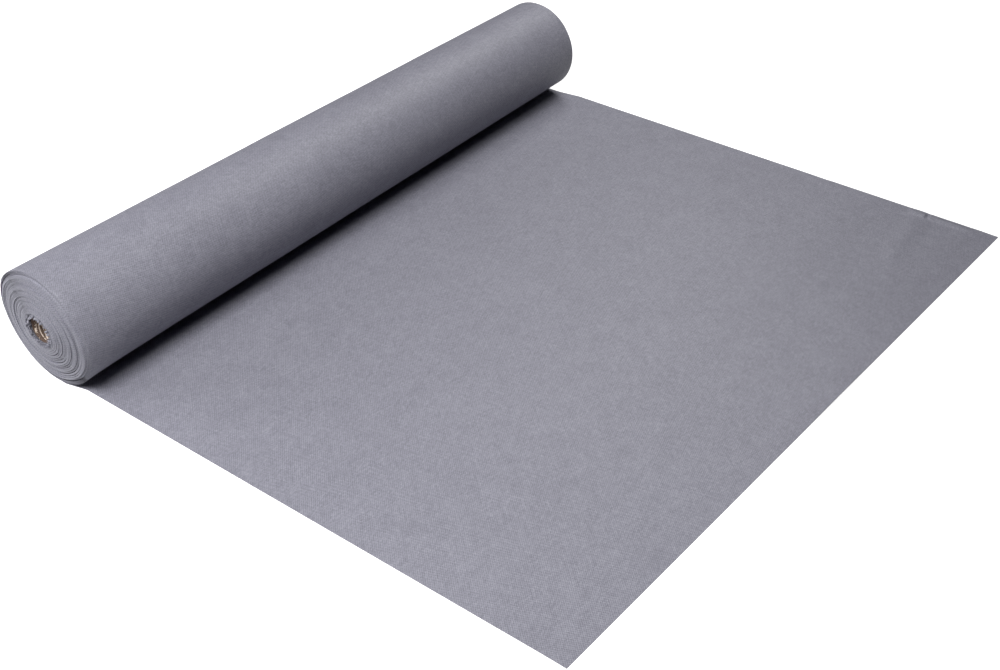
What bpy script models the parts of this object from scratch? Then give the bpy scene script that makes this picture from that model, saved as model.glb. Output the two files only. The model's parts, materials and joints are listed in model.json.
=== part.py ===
"""A roll of nonwoven geotextile on a cardboard core, with its free end unrolled on the ground.

The roll's axis runs along X. One continuous web leaves the roll at the bottom and lies flat
towards -Y. It is divided where it moves: the strip at the cut end that stays on the ground, the
laid part that is wound up as the roll travels towards it, the outermost turn, and the turns
inside that turn with the core. Z is up, and the origin is at the middle of the bounding box's
base. All sizes are in metres.
"""

import math

import bmesh
import bpy
import numpy as np

# The web
WEB_WIDTH = 1.6
WEB_THICKNESS = 0.0006
NEAR_SIDE_LENGTH = 1.16  # laid web at the -X edge, from under the roll's axis to the cut end
END_SKEW = 0.18  # how much longer the laid web is at the +X edge: its end is cut out of square
END_STRIP_LENGTH = 0.04  # what the roll leaves on the ground at the -X edge, at its limit

# The roll
ROLL_RADIUS = 0.1215
FOOT_DEPTH = 0.0005  # the roll's weight flattens its lowest stretch by this much
TELESCOPE = 0.014  # how far the innermost turn stands out past the outer turn at -X
TELESCOPE_EASE_SHARE = 1.6  # above 1 the end is a dome that rounds off at the rim
WOUND_TURNS = 23  # each stands for several turns of the thin web
TURN_POINTS = 36
OUTER_TURN_POINTS = 72
LAYER_GAP = 0.0005

# The cardboard core
CORE_BORE_RADIUS = 0.0254
CORE_WALL = 0.003
CORE_RECESS = 0.002  # how much shorter than the web the core is, at each end
CORE_SHIFT = 0.0125  # how far the core has slid towards -X, a little less than the turns on it
CORE_SIDES = 48

# The tape that starts the web on the core
TAPE_WIDTH = 0.025
TAPE_THICKNESS = 0.0003
TAPE_MARGIN = 0.05  # bare core at each end
TAPE_POINTS = 9

# Clearances
FIT_GAP = 0.0003
MERGE_LIMIT = 0.00001

# Sizes that follow from those above
HALF_TURN = math.pi
FULL_TURN = 2 * math.pi
FAR_SIDE_LENGTH = NEAR_SIDE_LENGTH + END_SKEW
AXIS_HEIGHT = ROLL_RADIUS - FOOT_DEPTH
CORE_RADIUS = CORE_BORE_RADIUS + CORE_WALL
CORE_LENGTH = WEB_WIDTH - 2 * CORE_RECESS
TURN_FLATNESS = math.cos(HALF_TURN / TURN_POINTS)  # a facet's middle over its corner
OUTER_FLATNESS = math.cos(HALF_TURN / OUTER_TURN_POINTS)

# The outer turn spirals in by one web and one gap, so that it ends above its own start
OUTER_LINE_RADIUS = ROLL_RADIUS - WEB_THICKNESS / 2
OUTER_TURN_STEP = WEB_THICKNESS + LAYER_GAP
OUTER_TURN_INSIDE = (ROLL_RADIUS - WEB_THICKNESS - OUTER_TURN_STEP) * OUTER_FLATNESS
FOOT_ANGLE = math.acos(1 - FOOT_DEPTH / OUTER_LINE_RADIUS)
LAST_ANGLE = FULL_TURN - math.acos(1 - FOOT_DEPTH / (OUTER_LINE_RADIUS - OUTER_TURN_STEP))
FOOT_HALF = OUTER_LINE_RADIUS * math.sin(FOOT_ANGLE)

# The wound turns fill the room between the taped core and the outer turn
WOUND_OUTSIDE = OUTER_TURN_INSIDE - FIT_GAP
WOUND_INSIDE = CORE_RADIUS + FIT_GAP + TAPE_THICKNESS + FIT_GAP
WOUND_PITCH = (WOUND_OUTSIDE - (WOUND_INSIDE - LAYER_GAP) / TURN_FLATNESS) / (WOUND_TURNS + 1)
WOUND_THICKNESS = WOUND_PITCH * TURN_FLATNESS - LAYER_GAP
WOUND_LINE_RADIUS = WOUND_OUTSIDE - WOUND_THICKNESS / (2 * TURN_FLATNESS)

MATERIALS = {
    "web_grey": ((0.23, 0.23, 0.27, 1.0), 0.85),
    "cardboard_tan": ((0.50, 0.38, 0.25, 1.0), 0.90),
    "tape_clear": ((0.75, 0.73, 0.66, 1.0), 0.45),
}


def clear_scene():
    for obj in list(bpy.data.objects):
        bpy.data.objects.remove(obj, do_unlink=True)


def material(name):
    """A plain Principled material from the table above."""
    found = bpy.data.materials.get(name)
    if found:
        return found
    colour, roughness = MATERIALS[name]
    made = bpy.data.materials.new(name)
    made.use_nodes = True
    shader = made.node_tree.nodes["Principled BSDF"]
    shader.inputs["Base Color"].default_value = colour
    shader.inputs["Roughness"].default_value = roughness
    shader.inputs["Metallic"].default_value = 0.0
    made.diffuse_color = colour
    return made


def add_part(name, data, parent, collection, finish):
    """Puts a mesh or curve in the scene as one named sub-part."""
    obj = bpy.data.objects.new(name, data)
    obj.parent = parent
    data.materials.append(material(finish))
    collection.objects.link(obj)
    return obj


def add_anchor(name, location, parent, collection):
    """An empty that sub-parts hang on."""
    anchor = bpy.data.objects.new(name, None)
    anchor.empty_display_size = CORE_RADIUS
    anchor.location = location
    anchor.parent = parent
    collection.objects.link(anchor)
    return anchor


def outer_turn_line():
    """The outermost turn's middle line about the roll's axis, as (x, y, z) rows.

    It starts flat on the ground where the laid web ends, rises round the back, comes down the
    front and ends just above its own start.
    """
    steps = OUTER_TURN_POINTS + 1
    angles = np.linspace(FOOT_ANGLE, LAST_ANGLE, steps)
    radii = OUTER_LINE_RADIUS - OUTER_TURN_STEP * (angles - FOOT_ANGLE) / FULL_TURN
    ring = np.stack([np.zeros(steps), radii * np.sin(angles), -radii * np.cos(angles)], axis=1)
    start = ring[0] * (1, -1, 1) + (0, FIT_GAP, 0)
    return np.vstack([start, ring])


def wound_line():
    """The middle line of the turns inside the outer one, from the outside in, as (x, y, z) rows."""
    steps = np.arange(WOUND_TURNS * TURN_POINTS + 1)
    turns_in = steps / TURN_POINTS
    angles = LAST_ANGLE + FULL_TURN * turns_in
    radii = WOUND_LINE_RADIUS - WOUND_PITCH * turns_in
    return np.stack([telescoped(radii), radii * np.sin(angles), -radii * np.cos(angles)], axis=1)


def telescoped(radii):
    """How far a turn of each radius has slid towards -X: nothing at the rim, all at the core."""
    inward_share = (WOUND_LINE_RADIUS - radii) / (WOUND_PITCH * WOUND_TURNS)
    return -TELESCOPE * (1 - np.clip(1 - inward_share, 0, 1) ** TELESCOPE_EASE_SHARE)


def tape_line():
    """The tape's middle line on the core, under the innermost end of the web."""
    radius = CORE_RADIUS + FIT_GAP + TAPE_THICKNESS / 2
    half_angle = TAPE_WIDTH / (2 * radius)
    angles = LAST_ANGLE + np.linspace(-half_angle, half_angle, TAPE_POINTS)
    across = np.full(TAPE_POINTS, -CORE_SHIFT)
    return np.stack([across, radius * np.sin(angles), -radius * np.cos(angles)], axis=1)


def band(name, line, width, thickness, parent, collection, finish):
    """A band that runs along X and follows the line round: an open surface made thick."""
    shape = bmesh.new()
    corners = [shape.verts.new((x - width / 2, y, z)) for x, y, z in line]
    edges = [shape.edges.new(pair) for pair in zip(corners, corners[1:])]
    grown = bmesh.ops.extrude_edge_only(shape, edges=edges)["geom"]
    moved = [item for item in grown if isinstance(item, bmesh.types.BMVert)]
    bmesh.ops.translate(shape, verts=moved, vec=(width, 0, 0))
    bmesh.ops.recalc_face_normals(shape, faces=shape.faces)
    mesh = bpy.data.meshes.new(name)
    shape.to_mesh(mesh)
    shape.free()
    mesh.shade_smooth()
    obj = add_part(name, mesh, parent, collection, finish)
    thick = obj.modifiers.new("Thickness", "SOLIDIFY")
    thick.thickness = thickness
    thick.offset = 0
    thick.use_even_offset = True
    return obj


def flat_sheet(name, outline, parent, collection, finish):
    """A flat piece of the web lying on the ground, from its outline."""
    curve = bpy.data.curves.new(name, "CURVE")
    curve.dimensions = "2D"
    curve.fill_mode = "BOTH"
    curve.extrude = WEB_THICKNESS / 2
    spline = curve.splines.new("POLY")
    spline.points.add(len(outline) - 1)
    for point, (x, y) in zip(spline.points, outline):
        point.co = (x, y, 0, 1)
    spline.use_cyclic_u = True
    obj = add_part(name, curve, parent, collection, finish)
    obj.location.z = WEB_THICKNESS / 2
    return obj


def tube(name, inner, outer, middle, length, parent, collection, finish):
    """A tube about the X axis, turned from the outline of its wall."""
    shape = bmesh.new()
    start, end = middle - length / 2, middle + length / 2
    wall = [(end, inner), (end, outer), (start, outer), (start, inner)]
    corners = [shape.verts.new((x, 0, -radius)) for x, radius in wall]
    for here, there in zip(corners, corners[1:] + corners[:1]):
        shape.edges.new((here, there))
    mesh = bpy.data.meshes.new(name)
    shape.to_mesh(mesh)
    shape.free()
    obj = add_part(name, mesh, parent, collection, finish)
    turned = obj.modifiers.new("Turned", "SCREW")
    turned.axis = "X"
    turned.steps = CORE_SIDES
    turned.render_steps = CORE_SIDES
    turned.use_merge_vertices = True
    turned.merge_threshold = MERGE_LIMIT
    return obj


def least_gap(line, thickness, points_in_turn):
    """The least clear space between one turn of a band and the next, in its cross-section."""
    here = line[:, 1:]
    along = np.diff(here, axis=0)
    length_squared = (along**2).sum(axis=1)
    least = math.inf
    for index, point in enumerate(here):
        first = index + points_in_turn // 2
        if first >= len(along):
            break
        from_start = point - here[first:-1]
        share = np.clip((from_start * along[first:]).sum(axis=1) / length_squared[first:], 0, 1)
        away = np.linalg.norm(from_start - share[:, None] * along[first:], axis=1)
        least = min(least, away.min() - thickness)
    return least


def build_laid_web(ground, collection):
    """The part of the laid web that is wound up, and the strip at its cut end that stays."""
    half = WEB_WIDTH / 2
    split = -(NEAR_SIDE_LENGTH - END_STRIP_LENGTH)
    laid = [(-half, -FOOT_HALF), (-half, split + FIT_GAP), (half, split + FIT_GAP), (half, -FOOT_HALF)]
    flat_sheet("laid_sheet", laid, ground, collection, "web_grey")
    strip = [(-half, split), (-half, -NEAR_SIDE_LENGTH), (half, -FAR_SIDE_LENGTH), (half, split)]
    flat_sheet("free_end", strip, ground, collection, "web_grey")


def build_roll(axis, collection):
    """The outer turn, the turns inside it, the core and the tape that joins them."""
    outer = outer_turn_line()
    band("outer_turn", outer, WEB_WIDTH, WEB_THICKNESS, axis, collection, "web_grey")
    wound = wound_line()
    band("wound_web", wound, WEB_WIDTH, WOUND_THICKNESS, axis, collection, "web_grey")
    bore, outside = CORE_BORE_RADIUS, CORE_RADIUS
    tube("core_tube", bore, outside, -CORE_SHIFT, CORE_LENGTH, axis, collection, "cardboard_tan")
    tape_length = CORE_LENGTH - 2 * TAPE_MARGIN
    band("start_tape", tape_line(), tape_length, TAPE_THICKNESS, axis, collection, "tape_clear")
    to_millimetres = 1000
    gaps = {
        "outer turn": least_gap(outer, WEB_THICKNESS, OUTER_TURN_POINTS),
        "wound web": least_gap(wound, WOUND_THICKNESS, TURN_POINTS),
    }
    for piece, gap in gaps.items():
        print(f"least gap of the {piece} to itself: {gap * to_millimetres:.3f} mm")


def main():
    clear_scene()
    collection = bpy.data.collections.new("geotextile_roll")
    bpy.context.scene.collection.children.link(collection)
    back_reach = outer_turn_line()[:, 1].max() + WEB_THICKNESS / 2
    roll_x = TELESCOPE / 2
    roll_y = (FAR_SIDE_LENGTH - back_reach) / 2
    ground = add_anchor("contact_line", (roll_x, roll_y, 0), None, collection)
    axis = add_anchor("roll_axis", (0, 0, AXIS_HEIGHT), ground, collection)
    build_laid_web(ground, collection)
    build_roll(axis, collection)


main()
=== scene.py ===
"""The looks of a geotextile roll: a grey nonwoven web on a cardboard core, its free end laid out.

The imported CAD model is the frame. Every piece here is in metres in that frame: the roll's axis
runs along X, the web is laid out towards -Y, and Z is up. Angles on the roll are measured from
straight down, rising at the back (+Y), over the top, and down the front again.
"""

import json
import math

import bpy
import numpy as np
from mathutils import Matrix, Vector


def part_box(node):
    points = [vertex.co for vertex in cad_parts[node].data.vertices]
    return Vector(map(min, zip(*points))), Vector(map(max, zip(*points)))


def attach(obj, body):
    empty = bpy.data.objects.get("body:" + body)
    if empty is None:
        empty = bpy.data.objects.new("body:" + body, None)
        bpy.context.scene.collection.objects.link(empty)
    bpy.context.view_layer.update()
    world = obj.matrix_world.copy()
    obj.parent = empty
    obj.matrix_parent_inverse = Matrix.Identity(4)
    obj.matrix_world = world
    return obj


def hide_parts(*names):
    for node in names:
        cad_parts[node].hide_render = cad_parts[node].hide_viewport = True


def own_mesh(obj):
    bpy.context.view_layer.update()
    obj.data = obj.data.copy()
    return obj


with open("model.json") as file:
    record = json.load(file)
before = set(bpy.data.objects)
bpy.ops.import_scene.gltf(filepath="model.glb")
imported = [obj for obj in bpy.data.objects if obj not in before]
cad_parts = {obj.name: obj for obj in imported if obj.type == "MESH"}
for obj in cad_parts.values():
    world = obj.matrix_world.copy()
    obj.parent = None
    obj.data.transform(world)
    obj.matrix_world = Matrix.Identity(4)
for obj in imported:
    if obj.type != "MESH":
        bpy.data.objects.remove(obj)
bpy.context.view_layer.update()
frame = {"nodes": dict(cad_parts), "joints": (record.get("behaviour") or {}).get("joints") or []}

# The camera, as a photographer would set it up: where it stands, where it points, and its lens
CAMERA_PLACE = (-1.7029, -1.0906, 1.4587)
CAMERA_YAW = math.radians(31.01)
CAMERA_PITCH = math.radians(37.02)
CAMERA_ROLL = math.radians(-2.97)
IMAGE_WIDTH_PX = 1000
IMAGE_HEIGHT_PX = 670
FOCAL_LENGTH_PX = 1150.6
CENTRE_X_PX = 581.1
CENTRE_Y_PX = 316.9
SENSOR_WIDTH_MM = 36.0

# The frame's own sizes
LAID_LOW, LAID_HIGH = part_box("laid_sheet")
STRIP_LOW, STRIP_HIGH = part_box("free_end")
OUTER_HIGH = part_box("outer_turn")[1]
WOUND_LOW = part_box("wound_web")[0]
CORE_LOW, CORE_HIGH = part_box("core_tube")
JOINTS = {joint["name"]: joint for joint in frame["joints"]}
AXIS = Vector(JOINTS["roll_turn"]["pos_m"])
TRAVEL = JOINTS["roll_travel"]["range_m"][1]
NEAR_X, FAR_X = LAID_LOW.x, LAID_HIGH.x
WEB_WIDTH = FAR_X - NEAR_X
FOOT_HALF = AXIS.y - LAID_HIGH.y
ROLL_RADIUS = OUTER_HIGH.z - AXIS.z
CORE_RADIUS = (CORE_HIGH.z - CORE_LOW.z) / 2
FOOT_ANGLE = math.asin(FOOT_HALF / ROLL_RADIUS)

# Where the out-of-square cut end stops at the -X edge: its corners there that aren't on the line
# where it joins the laid sheet
ON_LINE = 0.001
NEAR_END_Y = max(v.co.y for v in frame["nodes"]["free_end"].data.vertices
                 if v.co.x < 0 and v.co.y < STRIP_HIGH.y - ON_LINE)

WEB_THICKNESS = 0.0005
GROUND_GAP = 0.0001
SHARP_ANGLE = math.radians(50)
FULL_TURN = 2 * math.pi


def build_camera():
    """The camera, from its yaw, pitch and roll."""
    cos_yaw, sin_yaw = math.cos(CAMERA_YAW), math.sin(CAMERA_YAW)
    cos_pitch, sin_pitch = math.cos(CAMERA_PITCH), math.sin(CAMERA_PITCH)
    ahead = Vector((cos_yaw * cos_pitch, sin_yaw * cos_pitch, -sin_pitch))
    level_right = Vector((sin_yaw, -cos_yaw, 0))
    level_down = ahead.cross(level_right)
    right = math.cos(CAMERA_ROLL) * level_right + math.sin(CAMERA_ROLL) * level_down
    down = math.cos(CAMERA_ROLL) * level_down - math.sin(CAMERA_ROLL) * level_right
    data = bpy.data.cameras.new("camera")
    data.sensor_fit = "HORIZONTAL"
    data.sensor_width = SENSOR_WIDTH_MM
    data.lens = FOCAL_LENGTH_PX / IMAGE_WIDTH_PX * SENSOR_WIDTH_MM
    data.shift_x = (IMAGE_WIDTH_PX / 2 - CENTRE_X_PX) / IMAGE_WIDTH_PX
    data.shift_y = (CENTRE_Y_PX - IMAGE_HEIGHT_PX / 2) / IMAGE_WIDTH_PX
    camera = bpy.data.objects.new("camera", data)
    turned = Matrix((right, -down, -ahead)).transposed().to_4x4()
    camera.matrix_world = Matrix.Translation(CAMERA_PLACE) @ turned
    bpy.context.scene.collection.objects.link(camera)
    bpy.context.scene.camera = camera


# Shapes

def ripples(seed, shortest, longest, count):
    """A smooth uneven surface over (u, v) in metres, of about -1 to 1, made of random waves."""
    draw = np.random.default_rng(seed)
    lengths = np.exp(draw.uniform(math.log(shortest), math.log(longest), count))
    headings = draw.uniform(0, FULL_TURN, count)
    phases = draw.uniform(0, FULL_TURN, count)
    strengths = np.sqrt(lengths / longest)
    strengths /= math.sqrt((strengths**2).sum())

    def height(u, v):
        total = np.zeros(np.broadcast(u, v).shape)
        for length, heading, phase, strength in zip(lengths, headings, phases, strengths):
            along = u * math.cos(heading) + v * math.sin(heading)
            total += strength * np.sin(FULL_TURN * along / length + phase)
        return total

    return height


def ease(value, start, end):
    """0 before start and 1 after end, with a smooth change between them."""
    share = np.clip((value - start) / (end - start), 0, 1)
    return share * share * (3 - 2 * share)


def bump(value, start, full, fading, end):
    """0 outside start and end, 1 between full and fading, with smooth changes between them."""
    return ease(value, start, full) * (1 - ease(value, fading, end))


def spaced(low, high, step):
    """Evenly spaced numbers from low to high, about a step apart."""
    return np.linspace(low, high, max(2, round((high - low) / step) + 1))


def surface(name, points, uv):
    """A piece made of a grid of points, rows by columns, with a map of the web in metres."""
    rows, columns = points.shape[:2]
    index = np.arange(rows * columns).reshape(rows, columns)
    quads = np.stack([index[:-1, :-1], index[:-1, 1:], index[1:, 1:], index[1:, :-1]], axis=-1)
    quads = quads.reshape(-1, 4)
    mesh = bpy.data.meshes.new(name)
    mesh.from_pydata(points.reshape(-1, 3).tolist(), [], quads.tolist())
    layer = mesh.uv_layers.new(name="web_metres")
    layer.uv.foreach_set("vector", uv.reshape(-1, 2)[quads.ravel()].astype(np.float32).ravel())
    mesh.shade_smooth()
    obj = bpy.data.objects.new(name, mesh)
    bpy.context.scene.collection.objects.link(obj)
    return obj


def apply_modifiers(obj):
    """Replaces the object's mesh by the one that its modifiers make, with crisp edges."""
    graph = bpy.context.evaluated_depsgraph_get()
    made = bpy.data.meshes.new_from_object(obj.evaluated_get(graph))
    obj.modifiers.clear()
    obj.data = made
    made.set_sharp_from_angle(angle=SHARP_ANGLE)


def thicken(obj, thickness, offset):
    """Gives an open sheet its thickness: on the side it faces with offset 1, on both with 0."""
    thick = obj.modifiers.new("thickness", "SOLIDIFY")
    thick.thickness = thickness
    thick.offset = offset
    apply_modifiers(obj)


def about_axis(x, radius, angle):
    """Points on the roll from their place along it, their radius and their angle."""
    return np.stack([x, AXIS.y + radius * np.sin(angle), AXIS.z - radius * np.cos(angle)], axis=-1)


# The laid web

# How far each edge runs from straight, at places along Y: the roll has run slightly askew
NEAR_EDGE_Y = (-0.55, 0.54, 0.585)
NEAR_EDGE_SHIFT = (0.0, 0.0058, -0.005)
FAR_EDGE_Y = (-0.73, 0.47, 0.53, 0.60)
FAR_EDGE_SHIFT = (-0.004, 0.012, 0.0025, 0.0025)

# Low waves all over and shorter ones at the edges. Lifted by a share of their height, only their
# tops stand above the ground, and the web lies flat between them
WAVE_HEIGHT = 0.0008
WAVE_LIFT = 0.5
EDGE_WAVE_HEIGHT = 0.0006
EDGE_WAVE_LIFT = 0.2
EDGE_WAVE_WIDTH = 0.05

# Low ridges along the far edge: middle along Y, half length, crest from the edge, height
RIDGES = (
    (-0.33, 0.13, 0.010, 0.0015),
    (-0.53, 0.10, 0.016, 0.0048),
    (-0.62, 0.10, 0.014, 0.0040),
)
RIDGE_FADE = 0.026
RIDGE_RISE_SHARE = 0.8

# The crease across the ridges: how much of their height it takes, and how far it pulls the edge in
CREASE_Y = -0.561
CREASE_HALF_WIDTH = 0.0045
CREASE_LENGTH = 0.055
CREASE_RISE_SHARE = 0.4
CREASE_CUT = 0.9
CREASE_PULL = 0.001

# The low buckle that the web makes beside the crease
BUCKLE_Y = -0.547
BUCKLE_HALF_WIDTH = 0.045
BUCKLE_START_X = 0.45
BUCKLE_RISE = 0.15
BUCKLE_FALL = 0.10
BUCKLE_HEIGHT = 0.003

# At the end of its travel the roll stands over the laid web, all of it wound up but this share
SHARE_LEFT = 1 - TRAVEL / (LAID_HIGH.y - LAID_LOW.y)
ROLLING_ROOM = 0.0002

# The mesh of the laid web has its columns closer together in a band along each edge
NEAR_BAND, NEAR_STEP = 0.02, 0.004
MIDDLE_STEP = 0.01
FAR_BAND, FAR_STEP = 0.06, 0.0025
ROW_STEP = 0.006
CUT_END_ROWS = 130

broad_waves = ripples(seed=3, shortest=0.22, longest=0.75, count=14)
edge_waves = ripples(seed=11, shortest=0.05, longest=0.22, count=12)


def room_under_roll(y):
    """How high the web may lie, so that the roll still clears it at the end of its travel."""
    where = np.where(y > LAID_LOW.y, LAID_LOW.y + (y - LAID_LOW.y) * SHARE_LEFT, y)
    away = AXIS.y - TRAVEL - where
    surface_height = ROLL_RADIUS - np.sqrt(np.clip(ROLL_RADIUS**2 - away**2, 0, None))
    return np.clip(surface_height - WEB_THICKNESS - ROLLING_ROOM, 0, None)


def crease(x, y):
    """1 in the short crease across the far edge, 0 away from it."""
    across = np.exp(-(((y - CREASE_Y) / CREASE_HALF_WIDTH) ** 2))
    return across * ease(x, FAR_X - CREASE_LENGTH, FAR_X - (1 - CREASE_RISE_SHARE) * CREASE_LENGTH)


def far_ridges(x, y):
    """The low ridges that run along the far edge, cut across by the crease."""
    inside = FAR_X - x
    height = np.zeros(np.broadcast(x, y).shape)
    for middle, half_length, crest, top in RIDGES:
        along = ease(half_length - np.abs(y - middle), 0, half_length * RIDGE_RISE_SHARE)
        outer = ease(inside, 0, crest)
        inner = 1 - ease(inside, crest, crest + RIDGE_FADE)
        height = np.maximum(height, top * along * np.where(inside < crest, outer, inner))
    return height * (1 - CREASE_CUT * crease(x, y))


def laid_height(x, y):
    """How high the laid web's underside lies above the ground."""
    height = WAVE_HEIGHT * np.clip(broad_waves(x, y) + WAVE_LIFT, 0, None)
    to_edge = np.minimum(x - NEAR_X, FAR_X - x)
    at_edge = np.clip(1 - to_edge / EDGE_WAVE_WIDTH, 0, 1) ** 2
    lifted = np.clip(edge_waves(x, y) + EDGE_WAVE_LIFT, 0, None)
    height = height + EDGE_WAVE_HEIGHT * at_edge * lifted
    buckle = ease(BUCKLE_HALF_WIDTH - np.abs(y - BUCKLE_Y), 0, BUCKLE_HALF_WIDTH)
    full_x, falling_x = BUCKLE_START_X + BUCKLE_RISE, FAR_X - BUCKLE_FALL
    buckle = buckle * bump(x, BUCKLE_START_X, full_x, falling_x, FAR_X)
    height = height + BUCKLE_HEIGHT * buckle
    return GROUND_GAP + np.minimum(np.maximum(height, far_ridges(x, y)), room_under_roll(y))


def edge_shift(x, y):
    """How far the web lies along X from where straight edges would put it."""
    share = (x - NEAR_X) / WEB_WIDTH
    near = np.interp(y, NEAR_EDGE_Y, NEAR_EDGE_SHIFT)
    far = np.interp(y, FAR_EDGE_Y, FAR_EDGE_SHIFT)
    return near * (1 - share) + far * share - CREASE_PULL * crease(x, y)


def laid_points(x, y):
    """The laid web's points over a grid, with its map: u across the web and v along it."""
    points = np.stack([x + edge_shift(x, y), y, laid_height(x, y)], axis=-1)
    return points, np.stack([x, y], axis=-1)


def across_web():
    """Places across the web, closer together near its two edges."""
    near = spaced(NEAR_X, NEAR_X + NEAR_BAND, NEAR_STEP)
    middle = spaced(NEAR_X + NEAR_BAND, FAR_X - FAR_BAND, MIDDLE_STEP)
    far = spaced(FAR_X - FAR_BAND, FAR_X, FAR_STEP)
    return np.concatenate([near[:-1], middle, far[1:]])


def build_laid_web():
    """The laid web that is wound up as the roll travels."""
    x, y = np.meshgrid(across_web(), spaced(LAID_LOW.y, LAID_HIGH.y, ROW_STEP))
    web = surface("laid_web", *laid_points(x, y))
    thicken(web, WEB_THICKNESS, offset=1)
    return web


def build_cut_end():
    """The strip at the cut end, which stays on the ground. Its end is out of square."""
    across = across_web()
    share = np.linspace(1, 0, CUT_END_ROWS)[:, None]
    far_y = NEAR_END_Y + (STRIP_LOW.y - NEAR_END_Y) * (across - NEAR_X) / WEB_WIDTH
    y = LAID_LOW.y + (far_y - LAID_LOW.y) * share
    x = np.broadcast_to(across, y.shape)
    strip = surface("cut_end", *laid_points(x, y))
    thicken(strip, WEB_THICKNESS, offset=1)
    return strip


# The roll's outside

WRAP_TURNS = 4
WRAP_STEP = 0.0012
ROWS_IN_TURN = 112
ROWS_ON_GROUND = 6

# Its columns: their distances from the -X edge, and the step between the rest of them
WRAP_COLUMNS = (0, 0.0012, 0.0025, 0.004, 0.006, 0.009, 0.014, 0.022)
WRAP_COLUMN_STEP = 0.04

# Where the wrap and the turns inside it face each other, each is nearly round for most of a turn
ROUND_POWER = 4

# The low relief of the wrap. It is sunk, so that the roll keeps its radius, and it starts at an
# angle in radians. The sink and the deepest place are in shares of its height
WRAP_RELIEF = 0.00015
RELIEF_SINK = 1.5
DEEPEST_RELIEF = 3
RELIEF_ANGLE = 0.4

# How the edges of the wrap wander along X, from what angle in radians, and how far in they do
EDGE_WANDER = 0.0008
WANDER_ANGLE = 1.0
WANDER_REACH = 0.05

# The rim at the -X end: drawn in a little at the top, flared at the front near the ground
RIM_WIDTH = 0.006
RIM_DROP = 0.0008
RIM_MOST = 1.5
FLARE = 0.003
FLARE_LENGTH = 0.05
FLARE_ANGLES = (245, 290, 325, 354)

# How far the web's edges lean along X round the roll: most where it comes up from the ground
LEAN_ANGLES = (0, 45, 80, 100, 130, 150, 180, 290, 360)
LEAN_SHARES = (1, 0.75, 0.35, 0.3, 0.6, 0.45, 0, 0, 1)
NEAR_LEAN = -0.005
FAR_LEAN = 0.0025
LEAN_REACH = 0.025

wrap_relief = ripples(seed=5, shortest=0.08, longest=0.5, count=14)
rim_waves = ripples(seed=8, shortest=0.04, longest=0.4, count=10)


def lean(angle):
    """How much of its lean the web's edge has at an angle on the roll."""
    return np.interp(np.degrees(angle) % 360, LEAN_ANGLES, LEAN_SHARES)


def rim_share(x):
    """1 at the -X edge, 0 where the rim's rounding ends, more where a turn stands out past it."""
    return np.clip(1 - (x - NEAR_X) / RIM_WIDTH, 0, RIM_MOST) ** 2


def nearly_round(turns):
    """Turns as the radius counts them: hardly any of the first, until it ends."""
    return np.where(turns < 1, turns**ROUND_POWER, turns)


def wrap_radius(x, angle, inward):
    """The radius of the wrap's outside, with its relief, its rim and its flare."""
    one_turn = np.clip(angle, FOOT_ANGLE, None) % FULL_TURN
    wound_in = WRAP_TURNS - nearly_round(WRAP_TURNS * (1 - inward))
    relief = wrap_relief(x, one_turn * ROLL_RADIUS) - RELIEF_SINK
    fading = bump(one_turn, FOOT_ANGLE, RELIEF_ANGLE, FULL_TURN - RELIEF_ANGLE, FULL_TURN)
    radius = ROLL_RADIUS - WRAP_STEP * wound_in + WRAP_RELIEF * relief * fading
    radius = radius - RIM_DROP * rim_share(x) * (1 - np.cos(angle)) / 2
    flared = bump(np.degrees(one_turn), *FLARE_ANGLES) * np.exp(-(x - NEAR_X) / FLARE_LENGTH)
    return radius + FLARE * flared * (1 - inward)


def wrap_place(x, angle):
    """Where the wrap's points lie along X, with the lean and the wander of its edges."""
    share = (x - NEAR_X) / WEB_WIDTH
    waves = rim_waves(angle * ROLL_RADIUS, 0 * x)
    wander = EDGE_WANDER * waves * ease(angle, FOOT_ANGLE, WANDER_ANGLE)
    wander = wander * (1 - bump(x, NEAR_X, NEAR_X + WANDER_REACH, FAR_X - WANDER_REACH, FAR_X))
    return x + lean(angle) * (NEAR_LEAN * (1 - share) + FAR_LEAN * share) + wander


def build_outer_wrap():
    """The outer turns, from the line where the laid web ends. Returns them with their length."""
    last = WRAP_TURNS * FULL_TURN - FOOT_ANGLE
    ground = np.linspace(-FOOT_ANGLE, FOOT_ANGLE, ROWS_ON_GROUND)[:-1]
    wound = np.linspace(FOOT_ANGLE, last, WRAP_TURNS * ROWS_IN_TURN + 1)
    near = NEAR_X + np.array(WRAP_COLUMNS)
    columns = np.concatenate([near, spaced(near[-1], FAR_X, WRAP_COLUMN_STEP)[1:]])
    x, angle = np.meshgrid(columns, np.concatenate([ground, wound]))
    inward = (np.clip(angle, FOOT_ANGLE, None) - FOOT_ANGLE) / (WRAP_TURNS * FULL_TURN)
    points = about_axis(wrap_place(x, angle), wrap_radius(x, angle, inward), angle)
    flat = angle < FOOT_ANGLE
    points[..., 1] = np.where(flat, AXIS.y + FOOT_HALF * angle / FOOT_ANGLE, points[..., 1])
    points[..., 2] = np.where(flat, GROUND_GAP, np.maximum(points[..., 2], GROUND_GAP))
    wrap = surface("outer_wrap", points, np.stack([x, AXIS.y + angle * ROLL_RADIUS], axis=-1))
    thicken(wrap, WEB_THICKNESS, offset=1)
    mean_radius = ROLL_RADIUS - WRAP_TURNS * WRAP_STEP / 2
    return wrap, WRAP_TURNS * FULL_TURN * mean_radius


# The turns inside it

TURNS = 46
FRAYED_TURNS = 3
POINTS_IN_TURN = 96
POINTS_IN_FRAYED_TURN = 240
TURN_THICKNESS = 0.0013
WOUND_CLEARANCE = 0.0003
CORE_ROOM = 0.0010

# Places across the turns from their -X edge, as far as the ones before the other edge
EDGE_STEPS = (0, 0.0008, 0.0018, 0.003, 0.0045, 0.007, 0.011, 0.018, 0.03)

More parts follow.
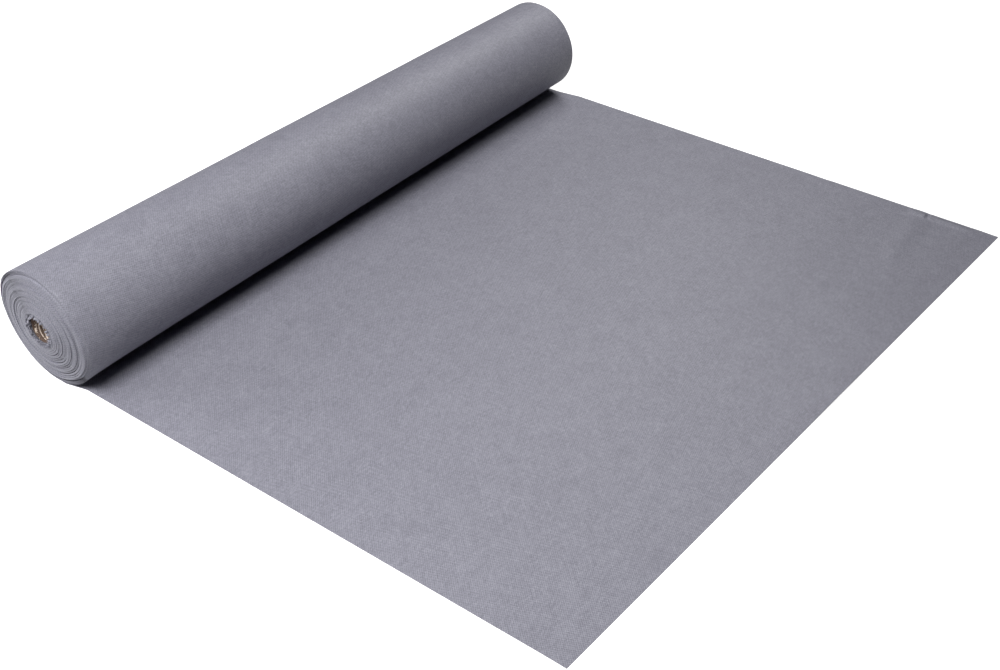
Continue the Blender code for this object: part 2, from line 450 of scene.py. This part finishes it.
# Turns lie close in bunches of 2 or 3, with uneven gaps between the bunches. The innermost lie
# loose, each by itself. A new bunch begins only while enough turns are left before the loose ones
BUNCH_SIZES = (2, 4)
ENOUGH_TURNS = 3
CLOSE_STEP = 0.00138
GAP_SHARES = (0.5, 1.5)
LOOSE_TURNS = 4
LOOSE_STEP = 0.0022

# The edges at the -X end make a low dome. Each bunch has slid by itself, except at the outside and
# next to the core, and the slip changes at the end of a turn
DOME_POWER = 1.6
BUNCH_SEED = 21
BUNCH_SLIP = 0.0014
SLIP_CHANGE = (0.8, 1.0)
SLIPPED_SHARES = (0, 0.06, 0.9, 1)

# A wave that runs along the edge, slightly out of step with the turns
EDGE_WAVE = 0.0004
EDGE_WAVE_PACE = 0.97
EDGE_WAVE_SWING = 2.0
EDGE_WAVE_DRIFT = 0.35

# The outer turns stand out a little at the back near the ground, and lie back at the front near
# the top
TILT = 0.0006
TILT_ANGLE = math.radians(45)
TILT_REACH = 0.015

# The innermost edge is frayed, and crimped in over the core's end. Both grow over the last turns
FRAY = 0.0025
FRAY_GROWS = (TURNS - FRAYED_TURNS - 1, TURNS - 0.6)
LIP = 0.0034
LIP_LENGTH = 0.0042
LIP_GROWS = (TURNS - 1.3, TURNS - 0.7)
LIP_RAGGEDNESS = 0.25

# The teeth of a frayed edge: how far they are blurred into each other, evened out and cut off
TEETH_BLUR = (0.3, 0.4, 0.3)
TEETH_SPREAD = 0.6
TEETH_LIMIT = 1.8


def bunches(draw):
    """The numbers of the turns at which a new bunch of turns begins."""
    starts = [0]
    while starts[-1] < TURNS - LOOSE_TURNS - ENOUGH_TURNS:
        starts.append(starts[-1] + int(draw.integers(*BUNCH_SIZES)))
    return starts + list(range(TURNS - LOOSE_TURNS + 1, TURNS + 1))


def turn_radii(draw, starts, outside, inside):
    """The radius where each turn begins: turns lie close in a bunch, with a gap between bunches."""
    steps = np.full(TURNS, CLOSE_STEP)
    steps[-LOOSE_TURNS:] = LOOSE_STEP
    gaps = np.zeros(TURNS)
    gaps[[start for start in starts[1:] if start < TURNS - LOOSE_TURNS]] = 1
    gaps = gaps * draw.uniform(*GAP_SHARES, TURNS)
    steps += gaps * (outside - inside - steps.sum()) / gaps.sum()
    return outside - np.append(0, np.cumsum(steps))


def turn_slips(draw, starts):
    """How far each turn has slid along X: the turns of a bunch have slid together."""
    slips = np.zeros(TURNS + 2)
    for start in starts:
        slips[start:] = draw.normal(0, BUNCH_SLIP)
    return slips


def frayed(count, seed):
    """Short uneven teeth, of about -1 to 1, one value for each point along the edge."""
    draw = np.random.default_rng(seed)
    teeth = np.convolve(draw.normal(0, 1, count), TEETH_BLUR, mode="same")
    return np.clip(teeth / TEETH_SPREAD, -TEETH_LIMIT, TEETH_LIMIT)


def wound_edge(turn, angle, depth, slips):
    """Where the spiral's -X edge lies along X."""
    inward = turn / TURNS
    whole = np.floor(turn).astype(int)
    slipped = slips[whole] + (slips[whole + 1] - slips[whole]) * ease(turn - whole, *SLIP_CHANGE)
    swing = EDGE_WAVE_SWING * np.sin(turn * EDGE_WAVE_DRIFT)
    slipped = slipped + EDGE_WAVE * np.sin(angle * EDGE_WAVE_PACE + swing)
    edge = NEAR_X + (WOUND_LOW.x - NEAR_X) * (1 - (1 - inward) ** DOME_POWER)
    edge = edge + NEAR_LEAN * lean(angle) * np.exp(-depth / LEAN_REACH)
    edge = edge - TILT * np.cos(angle - TILT_ANGLE) * np.exp(-depth / TILT_REACH)
    edge = edge + slipped * bump(inward, *SLIPPED_SHARES)
    return edge + FRAY * ease(turn, *FRAY_GROWS) * frayed(len(turn), seed=4)


def build_wound_turns():
    """One long spiral, its edges slid along the roll in bunches. Returns it with its length."""
    plain = np.arange((TURNS - FRAYED_TURNS) * POINTS_IN_TURN) / POINTS_IN_TURN
    finer = np.arange(FRAYED_TURNS * POINTS_IN_FRAYED_TURN + 1) / POINTS_IN_FRAYED_TURN
    turn = np.concatenate([plain, TURNS - FRAYED_TURNS + finer])
    angle = FULL_TURN * turn - FOOT_ANGLE
    wrap_depth = WRAP_TURNS * WRAP_STEP
    inside_wrap = ROLL_RADIUS - wrap_depth - WEB_THICKNESS - DEEPEST_RELIEF * WRAP_RELIEF
    outside = inside_wrap - WOUND_CLEARANCE - TURN_THICKNESS / 2
    inside = CORE_RADIUS + CORE_ROOM + TURN_THICKNESS / 2
    draw = np.random.default_rng(BUNCH_SEED)
    starts = bunches(draw)
    radii = turn_radii(draw, starts, outside, inside)
    slips = turn_slips(draw, starts)
    radius = np.interp(nearly_round(turn), np.arange(TURNS + 1), radii)
    depth = outside - radius

    steps = np.array([*EDGE_STEPS, WEB_WIDTH])
    x = wound_edge(turn, angle, depth, slips)[:, None] + steps[None, :]
    crimp = ease(turn, *LIP_GROWS)[:, None] * (1 - ease(steps, 0, LIP_LENGTH))[None, :]
    ragged = 1 + LIP_RAGGEDNESS * frayed(len(turn), seed=9)[:, None]
    rim = RIM_DROP * rim_share(x) * np.exp(-depth / TILT_REACH)[:, None]
    radius_at = radius[:, None] - rim - LIP * ragged * crimp
    points = about_axis(x, radius_at, np.broadcast_to(angle[:, None], x.shape))
    along = np.cumsum(np.append(0, np.diff(angle) * radius[1:]))
    uv = np.stack([x, np.broadcast_to(along[:, None], x.shape)], axis=-1)
    wound = surface("wound_turns", points, uv)
    thicken(wound, TURN_THICKNESS, offset=0)
    return wound, float(along[-1])


# The core

CORE_WALL = 0.003
CORE_ROUND_OFF = 0.0005
CORE_COLUMNS = 241
CORE_NEAR_RING = 0.03
CORE_FAR_RING = 0.02
SAME_POINT = 0.00001

# How far its -X end is torn back, over what angles in degrees, and how unevenly
TORN_DEPTH = 0.002
TORN_ANGLES = (60, 90, 170, 205)
TORN_RAGGEDNESS = 0.15


def build_core():
    """The cardboard tube. Its -X end is torn back a little at one side."""
    bore = CORE_RADIUS - CORE_WALL
    angles = np.linspace(0, FULL_TURN, CORE_COLUMNS)
    ragged = 1 + TORN_RAGGEDNESS * frayed(len(angles), seed=6)
    torn = TORN_DEPTH * bump(np.degrees(angles), *TORN_ANGLES) * ragged
    torn[-1] = torn[0]
    low, high = CORE_LOW.x, CORE_HIGH.x
    near_ring, far_ring = low + CORE_NEAR_RING, high - CORE_FAR_RING
    # Round the tube's section: place along X, radius, and whether it moves with the tear
    profile = [
        (near_ring, CORE_RADIUS, 0),
        (low + CORE_ROUND_OFF, CORE_RADIUS, 1), (low, CORE_RADIUS - CORE_ROUND_OFF, 1),
        (low, bore + CORE_ROUND_OFF, 1), (low + CORE_ROUND_OFF, bore, 1), (near_ring, bore, 0),
        (far_ring, bore, 0), (high - CORE_ROUND_OFF, bore, 0), (high, bore + CORE_ROUND_OFF, 0),
        (high, CORE_RADIUS - CORE_ROUND_OFF, 0), (high - CORE_ROUND_OFF, CORE_RADIUS, 0),
        (far_ring, CORE_RADIUS, 0), (near_ring, CORE_RADIUS, 0),
    ]
    place, radius, at_tear = np.array(profile).T
    x = place[None, :] + at_tear[None, :] * torn[:, None]
    radius = np.broadcast_to(radius, x.shape)
    angle = np.broadcast_to(angles[:, None], x.shape)
    uv = np.stack([x, angle * CORE_RADIUS], axis=-1)
    core = surface("paper_core", about_axis(x, radius, angle)[:, ::-1], uv[:, ::-1])
    weld = core.modifiers.new("weld", "WELD")
    weld.merge_threshold = SAME_POINT
    apply_modifiers(core)
    return core


# Finishes

def add(tree, kind, **settings):
    """A new node with its settings."""
    node = tree.nodes.new(kind)
    for name, value in settings.items():
        setattr(node, name, value)
    return node


def group_tree(name, inputs, outputs):
    """A node group with float or vector sockets, and its input and output nodes."""
    tree = bpy.data.node_groups.new(name, "ShaderNodeTree")
    for label, kind, value in inputs:
        socket = tree.interface.new_socket(label, in_out="INPUT", socket_type=kind)
        if value is not None:
            socket.default_value = value
    for label, kind in outputs:
        tree.interface.new_socket(label, in_out="OUTPUT", socket_type=kind)
    return tree, add(tree, "NodeGroupInput"), add(tree, "NodeGroupOutput")


def math_node(tree, operation, first, second=None):
    """The result of a sum on two values, each a number or a socket."""
    node = add(tree, "ShaderNodeMath", operation=operation)
    for socket, value in zip(node.inputs, (first, second)):
        if value is None:
            continue
        if isinstance(value, (int, float)):
            socket.default_value = value
        else:
            tree.links.new(value, socket)
    return node.outputs[0]


def summed(tree, values):
    """The sum of several sockets."""
    total = values[0]
    for value in values[1:]:
        total = math_node(tree, "ADD", total, value)
    return total


def outputs_of(node, *names):
    """Several outputs of a node by their names."""
    return [node.outputs[name] for name in names]


# The grid of bond points stands at a slant on the web. A point is full up to a share of its size
BOND_HEADING = math.radians(45)
BOND_FULL_SHARE = 0.7


def bond_points_group():
    """The grid of small bond points that is pressed into the web: 1 on a point, 0 between them."""
    tree, given, made = group_tree(
        "bond points",
        [("Place", "NodeSocketVector", None), ("Pitch", "NodeSocketFloat", 0.003),
         ("Size", "NodeSocketFloat", 0.3)],
        [("Points", "NodeSocketFloat")],
    )
    turned = add(tree, "ShaderNodeVectorRotate", rotation_type="Z_AXIS")
    turned.inputs["Angle"].default_value = BOND_HEADING
    tree.links.new(given.outputs["Place"], turned.inputs["Vector"])
    cells = add(tree, "ShaderNodeVectorMath", operation="DIVIDE")
    tree.links.new(turned.outputs[0], cells.inputs[0])
    tree.links.new(given.outputs["Pitch"], cells.inputs[1])
    part = add(tree, "ShaderNodeVectorMath", operation="FRACTION")
    tree.links.new(cells.outputs[0], part.inputs[0])
    centred = add(tree, "ShaderNodeVectorMath", operation="SUBTRACT")
    centred.inputs[1].default_value = (0.5, 0.5, 0)
    tree.links.new(part.outputs[0], centred.inputs[0])
    flat = add(tree, "ShaderNodeVectorMath", operation="MULTIPLY")
    flat.inputs[1].default_value = (1, 1, 0)
    tree.links.new(centred.outputs[0], flat.inputs[0])
    away = add(tree, "ShaderNodeVectorMath", operation="LENGTH")
    tree.links.new(flat.outputs[0], away.inputs[0])
    edge = add(tree, "ShaderNodeMapRange", interpolation_type="SMOOTHSTEP")
    edge.inputs["To Min"].default_value = 1
    edge.inputs["To Max"].default_value = 0
    full = math_node(tree, "MULTIPLY", given.outputs["Size"], BOND_FULL_SHARE)
    tree.links.new(full, edge.inputs["From Min"])
    tree.links.new(given.outputs["Size"], edge.inputs["From Max"])
    tree.links.new(away.outputs["Value"], edge.inputs["Value"])
    tree.links.new(edge.outputs[0], made.inputs["Points"])
    return tree


def streaks(tree, place, heading, offset, length, width):
    """Streaks in one direction, from stretched noise. The length and the width are sockets."""
    turned = add(tree, "ShaderNodeVectorRotate", rotation_type="Z_AXIS")
    turned.inputs["Angle"].default_value = math.radians(heading)
    turned.inputs["Center"].default_value = (offset, 0, 0)
    tree.links.new(place, turned.inputs["Vector"])
    size = add(tree, "ShaderNodeCombineXYZ")
    size.inputs["Z"].default_value = 1
    tree.links.new(length, size.inputs["X"])
    tree.links.new(width, size.inputs["Y"])
    scaled = add(tree, "ShaderNodeVectorMath", operation="DIVIDE")
    tree.links.new(turned.outputs[0], scaled.inputs[0])
    tree.links.new(size.outputs[0], scaled.inputs[1])
    noise = add(tree, "ShaderNodeTexNoise", noise_dimensions="2D")
    noise.inputs["Scale"].default_value = 1
    noise.inputs["Detail"].default_value = 1
    noise.inputs["Distortion"].default_value = 0.6
    tree.links.new(scaled.outputs[0], noise.inputs["Vector"])
    return noise.outputs["Fac"]


# Each layer of fibres: its heading in degrees, and where its noise is taken from
FIBRE_LAYERS = ((20, 0.0), (75, 3.0), (128, 7.0), (165, 11.0))


def fibres_group():
    """Fibres laid in many directions: streaks at several headings, and clouds."""
    tree, given, made = group_tree(
        "laid fibres",
        [("Place", "NodeSocketVector", None), ("Fibre Length", "NodeSocketFloat", 0.02),
         ("Fibre Width", "NodeSocketFloat", 0.002), ("Cloud Size", "NodeSocketFloat", 0.03)],
        [("Streaks", "NodeSocketFloat"), ("Clouds", "NodeSocketFloat")],
    )
    place, length, width = outputs_of(given, "Place", "Fibre Length", "Fibre Width")
    laid = [streaks(tree, place, heading, offset, length, width) for heading, offset in FIBRE_LAYERS]
    mean = math_node(tree, "MULTIPLY", summed(tree, laid), 1 / len(FIBRE_LAYERS))
    tree.links.new(mean, made.inputs["Streaks"])
    clouds = add(tree, "ShaderNodeTexNoise", noise_dimensions="2D")
    clouds.inputs["Detail"].default_value = 4
    clouds.inputs["Roughness"].default_value = 0.6
    clouds.inputs["Distortion"].default_value = 0.4
    tree.links.new(given.outputs["Place"], clouds.inputs["Vector"])
    scale = math_node(tree, "DIVIDE", 1.0, given.outputs["Cloud Size"])
    tree.links.new(scale, clouds.inputs["Scale"])
    tree.links.new(clouds.outputs["Fac"], made.inputs["Clouds"])
    return tree


# The one layer of scuffs, given in the same way
SCUFF_LAYER = (-75, 5.0)


def scuffs_group():
    """Scuffs that run round a tube at a slant."""
    tree, given, made = group_tree(
        "scuffs",
        [("Place", "NodeSocketVector", None), ("Scuff Length", "NodeSocketFloat", 0.03),
         ("Scuff Width", "NodeSocketFloat", 0.004)],
        [("Scuffs", "NodeSocketFloat")],
    )
    place, length, width = outputs_of(given, "Place", "Scuff Length", "Scuff Width")
    tree.links.new(streaks(tree, place, *SCUFF_LAYER, length, width), made.inputs["Scuffs"])
    return tree


def new_material(name):
    """A new material with its nodes and its shader."""
    made = bpy.data.materials.new(name)
    made.use_nodes = True
    return made, made.node_tree, made.node_tree.nodes["Principled BSDF"]


def mapped(tree):
    """The piece's own map, in metres."""
    place = add(tree, "ShaderNodeUVMap", uv_map="web_metres")
    return place.outputs["UV"]


def placed(tree, group, place, **values):
    """A node group placed in a material, with its own values."""
    node = add(tree, "ShaderNodeGroup", node_tree=group)
    tree.links.new(place, node.inputs["Place"])
    for name, value in values.items():
        node.inputs[name.replace("_", " ")].default_value = value
    return node


def ramp(tree, value, span, tones):
    """Goes from the first tone to the second as the value crosses the span."""
    node = add(tree, "ShaderNodeMapRange")
    for name, number in zip(("From Min", "From Max", "To Min", "To Max"), (*span, *tones)):
        node.inputs[name].default_value = number
    tree.links.new(value, node.inputs["Value"])
    return node.outputs[0]


def mix_colours(tree, share, first, second):
    """The first colour where the share is 0, the second where it is 1."""
    node = add(tree, "ShaderNodeMix", data_type="RGBA")
    tree.links.new(share, node.inputs["Factor"])
    node.inputs["A"].default_value = first
    node.inputs["B"].default_value = second
    return node.outputs["Result"]


def bumped(tree, shader, height, strength, distance):
    """Gives a shader its fine relief."""
    node = add(tree, "ShaderNodeBump")
    node.inputs["Strength"].default_value = strength
    node.inputs["Distance"].default_value = distance
    tree.links.new(height, node.inputs["Height"])
    tree.links.new(node.outputs[0], shader.inputs["Normal"])


WEB_DARK = (0.165, 0.163, 0.200, 1)
WEB_LIGHT = (0.345, 0.343, 0.400, 1)
BOND_PITCH = 0.0034
BOND_SIZE = 0.42

# The range in which the noise of fibres and of clouds lies, and what each gives to the web's tone
STREAK_SPAN = (0.38, 0.62)
CLOUD_SPAN = (0.3, 0.7)
LONG_FIBRE_TONES = (0.37, 0.81)
SHORT_FIBRE_TONES = (-0.24, 0.24)
CLOUD_TONES = (-0.04, 0.04)
BOND_TONE = -0.42
FIBRE_RELIEF = 0.6


def web_material(groups):
    """Grey nonwoven: fine fibres, faint clouds and a fine grid of bond points, nearly matt."""
    made, tree, shader = new_material("web_fabric")
    place = mapped(tree)
    long = placed(tree, groups["fibres"], place,
                  Fibre_Length=0.045, Fibre_Width=0.0022, Cloud_Size=0.05)
    short = placed(tree, groups["fibres"], place,
                   Fibre_Length=0.010, Fibre_Width=0.0009, Cloud_Size=0.3)
    points = placed(tree, groups["bond points"], place, Pitch=BOND_PITCH, Size=BOND_SIZE)
    tone = summed(tree, [
        ramp(tree, long.outputs["Streaks"], STREAK_SPAN, LONG_FIBRE_TONES),
        ramp(tree, short.outputs["Streaks"], STREAK_SPAN, SHORT_FIBRE_TONES),
        ramp(tree, long.outputs["Clouds"], CLOUD_SPAN, CLOUD_TONES),
        ramp(tree, short.outputs["Clouds"], CLOUD_SPAN, CLOUD_TONES),
        math_node(tree, "MULTIPLY", points.outputs["Points"], BOND_TONE),
    ])
    tree.links.new(mix_colours(tree, tone, WEB_DARK, WEB_LIGHT), shader.inputs["Base Color"])
    shader.inputs["Roughness"].default_value = 0.55
    shader.inputs["Specular IOR Level"].default_value = 0.5
    relief = math_node(tree, "MULTIPLY", short.outputs["Streaks"], FIBRE_RELIEF)
    relief = math_node(tree, "SUBTRACT", relief, points.outputs["Points"])
    bumped(tree, shader, relief, strength=0.6, distance=0.0003)
    return made


# The tube's darkest colour: the dark of its scuffs, and the painted shade at its -X end
TUBE_DARK_AND_SHADE = (0.09, 0.055, 0.04, 1)
TUBE_PALE = (0.74, 0.63, 0.53, 1)
SCUFF_SPAN = (0.42, 0.60)
SCUFF_TONES = (0.0, 1.0)
PLY_SPAN = (0.40, 0.60)
PLY_TONES = (-0.15, 0.15)

# How far in from its -X end the tube's inside is darkened by painted shade, and how unevenly. The
# painted shade reaches further in from the back round over the top to the front, rising between two
# angles in degrees
PAINTED_SHADE_DEPTH = 0.002
PAINTED_SHADE_FADE = 0.0025
PAINTED_SHADE_WANDER = 0.004
PAINTED_SHADE_FURTHER = 0.007
PAINTED_SHADE_ANGLES = (60, 95)
PAINTED_SHADE_TONES = (-1.2, 0.0)


def cardboard_material(groups):
    """Pale brown paper: plies wound at a slant, scuffed along them, with painted shade at its -X
    end.
    """
    made, tree, shader = new_material("paper_tube")
    place = mapped(tree)
    parts = add(tree, "ShaderNodeSeparateXYZ")
    tree.links.new(place, parts.inputs[0])
    fibres = placed(tree, groups["fibres"], place,
                    Fibre_Length=0.012, Fibre_Width=0.0022, Cloud_Size=0.008)
    plies = fibres.outputs["Streaks"]
    scuffed = placed(tree, groups["scuffs"], place, Scuff_Length=0.035, Scuff_Width=0.0045)
    # Painted shade: the tone falls to the darkest colour near the -X end, and further in from the
    # back over the top to the front
    shade_wander = ramp(tree, plies, PLY_SPAN, (-PAINTED_SHADE_WANDER, PAINTED_SHADE_WANDER))
    shade_rise = [math.radians(angle) * CORE_RADIUS for angle in PAINTED_SHADE_ANGLES]
    shade_further = ramp(tree, parts.outputs["Y"], shade_rise, (0.0, -PAINTED_SHADE_FURTHER))
    inward = summed(tree, [parts.outputs["X"], shade_wander, shade_further])
    edge = CORE_LOW.x + PAINTED_SHADE_DEPTH
    tone = summed(tree, [
        ramp(tree, inward, (edge, edge + PAINTED_SHADE_FADE), PAINTED_SHADE_TONES),
        ramp(tree, scuffed.outputs["Scuffs"], SCUFF_SPAN, SCUFF_TONES),
        ramp(tree, plies, PLY_SPAN, PLY_TONES),
    ])
    tree.links.new(mix_colours(tree, tone, TUBE_DARK_AND_SHADE, TUBE_PALE), shader.inputs["Base Color"])
    shader.inputs["Roughness"].default_value = 0.85
    bumped(tree, shader, plies, strength=0.4, distance=0.0002)
    return made


TAPE_YELLOW = (0.62, 0.58, 0.46, 1)
TAPE_PALE = (0.78, 0.76, 0.68, 1)
TAPE_TONES = (0.0, 1.0)


def tape_material(groups):
    """Thin double-sided tape, slightly yellow and glossy."""
    made, tree, shader = new_material("clear_tape")
    place = add(tree, "ShaderNodeTexCoord").outputs["Object"]
    fibres = placed(tree, groups["fibres"], place,
                    Fibre_Length=0.02, Fibre_Width=0.004, Cloud_Size=0.02)
    tone = ramp(tree, fibres.outputs["Clouds"], CLOUD_SPAN, TAPE_TONES)
    tree.links.new(mix_colours(tree, tone, TAPE_YELLOW, TAPE_PALE), shader.inputs["Base Color"])
    shader.inputs["Roughness"].default_value = 0.35
    return made


# The studio

# Each softbox: place, width, power
SOFTBOXES = (
    ((-1.8, -0.1, 2.4), 1.2, 84),
    ((1.8, 0.6, 2.0), 1.2, 33),
    ((-1.8, 2.1, 0.9), 1.2, 24),
)
AIMED_AT = (-0.2, 0.1, 0)
FLOOR_HALF = 12.0
FLOOR_DARK = (0.74, 0.74, 0.74, 1)
FLOOR_LIGHT = (0.76, 0.76, 0.76, 1)
GLOW = (0.7, 0.7, 0.7, 1)


def build_floor():
    """A wide sheet of white paper. It glows for the camera alone, so that it comes out white."""
    made, tree, shader = new_material("studio_paper")
    grain = add(tree, "ShaderNodeTexNoise")
    grain.inputs["Scale"].default_value = 4
    shade = mix_colours(tree, grain.outputs["Fac"], FLOOR_DARK, FLOOR_LIGHT)
    tree.links.new(shade, shader.inputs["Base Color"])
    shader.inputs["Roughness"].default_value = 0.9
    shader.inputs["Specular IOR Level"].default_value = 0.1
    shader.inputs["Emission Color"].default_value = GLOW
    rays = add(tree, "ShaderNodeLightPath")
    tree.links.new(rays.outputs["Is Camera Ray"], shader.inputs["Emission Strength"])
    mesh = bpy.data.meshes.new("studio_floor")
    half = FLOOR_HALF
    corners = [(-half, -half, 0), (half, -half, 0), (half, half, 0), (-half, half, 0)]
    mesh.from_pydata(corners, [], [(0, 1, 2, 3)])
    mesh.materials.append(made)
    floor = bpy.data.objects.new("studio_floor", mesh)
    bpy.context.scene.collection.objects.link(floor)


def build_lights():
    """Three softboxes, and a surround that the camera sees as pale as the far floor."""
    for place, width, power in SOFTBOXES:
        box = bpy.data.lights.new("softbox", "AREA")
        box.shape = "SQUARE"
        box.size = width
        box.energy = power
        softbox = bpy.data.objects.new("softbox", box)
        softbox.location = place
        aim = Vector(AIMED_AT) - Vector(place)
        softbox.rotation_euler = aim.to_track_quat("-Z", "Y").to_euler()
        bpy.context.scene.collection.objects.link(softbox)
    world = bpy.data.worlds.new("studio")
    bpy.context.scene.world = world
    world.use_nodes = True
    tree = world.node_tree
    rays = add(tree, "ShaderNodeLightPath")
    tree.links.new(rays.outputs["Is Camera Ray"], tree.nodes["Background"].inputs["Strength"])
    tree.nodes["Background"].inputs["Color"].default_value = GLOW
    bpy.context.scene.view_settings.view_transform = "Standard"


# Each piece with its finish, the body it rides on and the node it stands for

def fitted(piece, finish, body, node):
    """Finishes a new piece that stands for one node."""
    piece.data.materials.append(finish)
    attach(piece, body)
    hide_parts(node)


def fit_laid_web(finish):
    laid = build_laid_web()
    fitted(laid, finish, "ground_sheet", "laid_sheet")
    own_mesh(laid)


def fit_cut_end(finish):
    strip = build_cut_end()
    fitted(strip, finish, "ground_sheet", "free_end")


def fit_roll(finish):
    wrap, length = build_outer_wrap()
    fitted(wrap, finish, "outer_wrap", "outer_turn")
    wound, length = build_wound_turns()
    fitted(wound, finish, "wound_roll", "wound_web")


def fit_core(groups):
    core = build_core()
    fitted(core, cardboard_material(groups), "wound_roll", "core_tube")
    tape = frame["nodes"]["start_tape"]
    tape.data.materials.clear()
    tape.data.materials.append(tape_material(groups))


def main():
    build_camera()
    groups = {"fibres": fibres_group(), "bond points": bond_points_group(), "scuffs": scuffs_group()}
    web = web_material(groups)
    fit_laid_web(web)
    fit_cut_end(web)
    fit_roll(web)
    fit_core(groups)
    build_floor()
    build_lights()


main()
